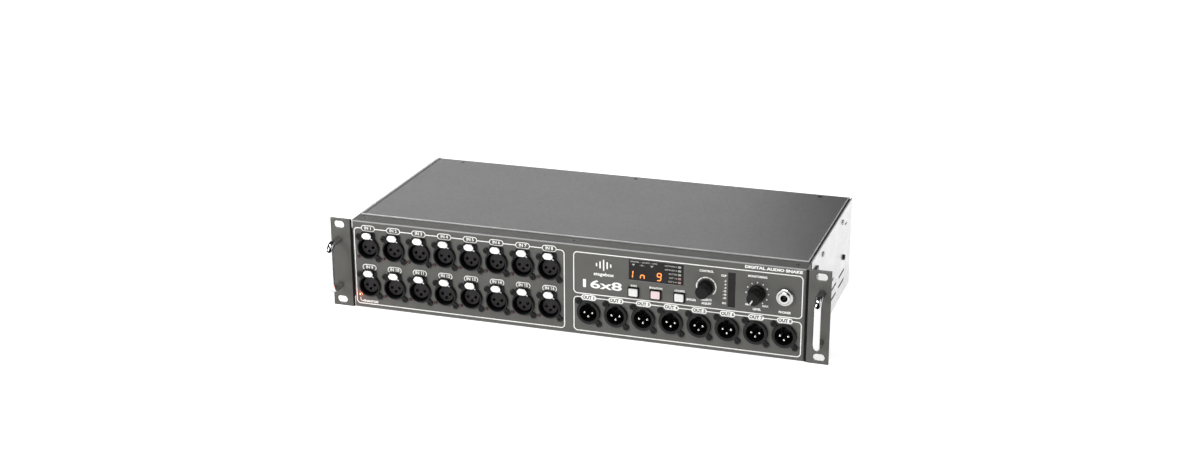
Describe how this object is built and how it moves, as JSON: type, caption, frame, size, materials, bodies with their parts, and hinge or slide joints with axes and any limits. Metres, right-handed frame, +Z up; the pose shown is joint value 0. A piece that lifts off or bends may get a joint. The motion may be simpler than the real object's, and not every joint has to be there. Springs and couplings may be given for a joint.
{
  "type": "rack stage box",
  "caption": "Rack stage box with microphone inputs, line outputs, a small control field, side handles and removable rack ears.",
  "frame": {"origin": "centre of the four rack slots on the rear face of the ears, where they meet the rails", "axes": "+X to the right seen from the front, +Y to the rear, +Z up"},
  "size_m": [0.4826, 0.2385, 0.0882],
  "materials": {
    "panel_paint": "satin warm grey powder coat",
    "cover_paint": "satin dark grey fine texture",
    "zinc": "bright zinc plate",
    "chrome": "polished",
    "black_screw": "black oxide",
    "steel_screw": "plated",
    "shell_black": "satin black",
    "insert_plastic": "fine moulded",
    "contact": "plated contact",
    "pin": "silver plate",
    "latch": "satin nickel",
    "lamp_red": "clear red",
    "window": "smoked, glossy",
    "module": "moulded",
    "cap": "translucent white",
    "switch": "moulded",
    "knob": "fine ribbed",
    "shaft": "turned",
    "housing": "pressed",
    "nut": "nickel plate",
    "jack": "nickel bush on moulded body",
    "board": "green solder mask",
    "black_plastic": "moulded",
    "rocker": "moulded",
    "port": "moulded"
  },
  "bodies": {
    "case": {"chassis_tray": "zinc", "rear_panel": "zinc", "front_panel": "panel_paint", "top_cover": "cover_paint", "rack_ear_left": "panel_paint", "rack_ear_right": "panel_paint", "handle_left": "chrome", "handle_right": "chrome", "case_screws": "black_screw", "plated_screws": "steel_screw", "input_shells": "shell_black", "input_inserts": "insert_plastic", "input_contacts": "contact", "output_shells": "shell_black", "output_pins": "pin", "connector_screws": "black_screw", "display_window": "window", "display_module": "module", "meter_window": "window", "meter_module": "module", "phantom_leds": "lamp_red", "button_switches": "switch", "encoder_housing": "housing", "level_pot_housing": "housing", "control_nuts": "nut", "phones_jack": "jack", "connector_board": "board", "control_board": "board", "main_board": "board", "power_supply": "board", "power_inlet": "black_plastic", "power_pins": "pin", "network_sockets": "port", "midi_sockets": "port", "usb_socket": "port"},
    "gain_cap": {"gain_button": "cap"},
    "phantom_cap": {"phantom_button": "cap"},
    "config_cap": {"config_button": "cap"},
    "encoder_turn": {"encoder_rotor": "switch"},
    "encoder_push": {"encoder_shaft": "shaft", "encoder_knob": "knob"},
    "level_turn": {"level_shaft": "shaft", "level_knob": "knob"},
    "rocker": {"power_rocker": "rocker"},
    "latch_01": {"input_latch_01": "latch"},
    "latch_02": {"input_latch_02": "latch"},
    "latch_03": {"input_latch_03": "latch"},
    "latch_04": {"input_latch_04": "latch"},
    "latch_05": {"input_latch_05": "latch"},
    "latch_06": {"input_latch_06": "latch"},
    "latch_07": {"input_latch_07": "latch"},
    "latch_08": {"input_latch_08": "latch"},
    "latch_09": {"input_latch_09": "latch"},
    "latch_10": {"input_latch_10": "latch"},
    "latch_11": {"input_latch_11": "latch"},
    "latch_12": {"input_latch_12": "latch"},
    "latch_13": {"input_latch_13": "latch"},
    "latch_14": {"input_latch_14": "latch"},
    "latch_15": {"input_latch_15": "latch"},
    "latch_16": {"input_latch_16": "latch"}
  },
  "joints": [
    {"name": "latch_01_press", "type": "slide", "parent": "case", "child": "latch_01", "axis": [0, 1, 0], "range_m": [0, 0.0015], "stiffness_N_per_m": 400},
    {"name": "latch_02_press", "type": "slide", "parent": "case", "child": "latch_02", "axis": [0, 1, 0], "range_m": [0, 0.0015], "stiffness_N_per_m": 400},
    {"name": "latch_03_press", "type": "slide", "parent": "case", "child": "latch_03", "axis": [0, 1, 0], "range_m": [0, 0.0015], "stiffness_N_per_m": 400},
    {"name": "latch_04_press", "type": "slide", "parent": "case", "child": "latch_04", "axis": [0, 1, 0], "range_m": [0, 0.0015], "stiffness_N_per_m": 400},
    {"name": "latch_05_press", "type": "slide", "parent": "case", "child": "latch_05", "axis": [0, 1, 0], "range_m": [0, 0.0015], "stiffness_N_per_m": 400},
    {"name": "latch_06_press", "type": "slide", "parent": "case", "child": "latch_06", "axis": [0, 1, 0], "range_m": [0, 0.0015], "stiffness_N_per_m": 400},
    {"name": "latch_07_press", "type": "slide", "parent": "case", "child": "latch_07", "axis": [0, 1, 0], "range_m": [0, 0.0015], "stiffness_N_per_m": 400},
    {"name": "latch_08_press", "type": "slide", "parent": "case", "child": "latch_08", "axis": [0, 1, 0], "range_m": [0, 0.0015], "stiffness_N_per_m": 400},
    {"name": "latch_09_press", "type": "slide", "parent": "case", "child": "latch_09", "axis": [0, 1, 0], "range_m": [0, 0.0015], "stiffness_N_per_m": 400},
    {"name": "latch_10_press", "type": "slide", "parent": "case", "child": "latch_10", "axis": [0, 1, 0], "range_m": [0, 0.0015], "stiffness_N_per_m": 400},
    {"name": "latch_11_press", "type": "slide", "parent": "case", "child": "latch_11", "axis": [0, 1, 0], "range_m": [0, 0.0015], "stiffness_N_per_m": 400},
    {"name": "latch_12_press", "type": "slide", "parent": "case", "child": "latch_12", "axis": [0, 1, 0], "range_m": [0, 0.0015], "stiffness_N_per_m": 400},
    {"name": "latch_13_press", "type": "slide", "parent": "case", "child": "latch_13", "axis": [0, 1, 0], "range_m": [0, 0.0015], "stiffness_N_per_m": 400},
    {"name": "latch_14_press", "type": "slide", "parent": "case", "child": "latch_14", "axis": [0, 1, 0], "range_m": [0, 0.0015], "stiffness_N_per_m": 400},
    {"name": "latch_15_press", "type": "slide", "parent": "case", "child": "latch_15", "axis": [0, 1, 0], "range_m": [0, 0.0015], "stiffness_N_per_m": 400},
    {"name": "latch_16_press", "type": "slide", "parent": "case", "child": "latch_16", "axis": [0, 1, 0], "range_m": [0, 0.0015], "stiffness_N_per_m": 400},
    {"name": "gain_press", "type": "slide", "parent": "case", "child": "gain_cap", "axis": [0, 1, 0], "range_m": [0, 0.001], "stiffness_N_per_m": 400},
    {"name": "phantom_press", "type": "slide", "parent": "case", "child": "phantom_cap", "axis": [0, 1, 0], "range_m": [0, 0.001], "stiffness_N_per_m": 400},
    {"name": "config_press", "type": "slide", "parent": "case", "child": "config_cap", "axis": [0, 1, 0], "range_m": [0, 0.001], "stiffness_N_per_m": 400},
    {"name": "encoder_spin", "type": "hinge", "parent": "case", "child": "encoder_turn", "pos_m": [0.1285, 0, 0.017], "axis": [0, 1, 0], "continuous": true},
    {"name": "encoder_press", "type": "slide", "parent": "encoder_turn", "child": "encoder_push", "axis": [0, 1, 0], "range_m": [0, 0.0005], "stiffness_N_per_m": 400},
    {"name": "level_spin", "type": "hinge", "parent": "case", "child": "level_turn", "pos_m": [0.1753, 0, 0.0163], "axis": [0, 1, 0], "range_deg": [0, 300]},
    {"name": "rocker_tip", "type": "hinge", "parent": "case", "child": "rocker", "pos_m": [-0.15, 0.2086, -0.018], "axis": [-1, 0, 0], "range_deg": [0, 20]}
  ]
}
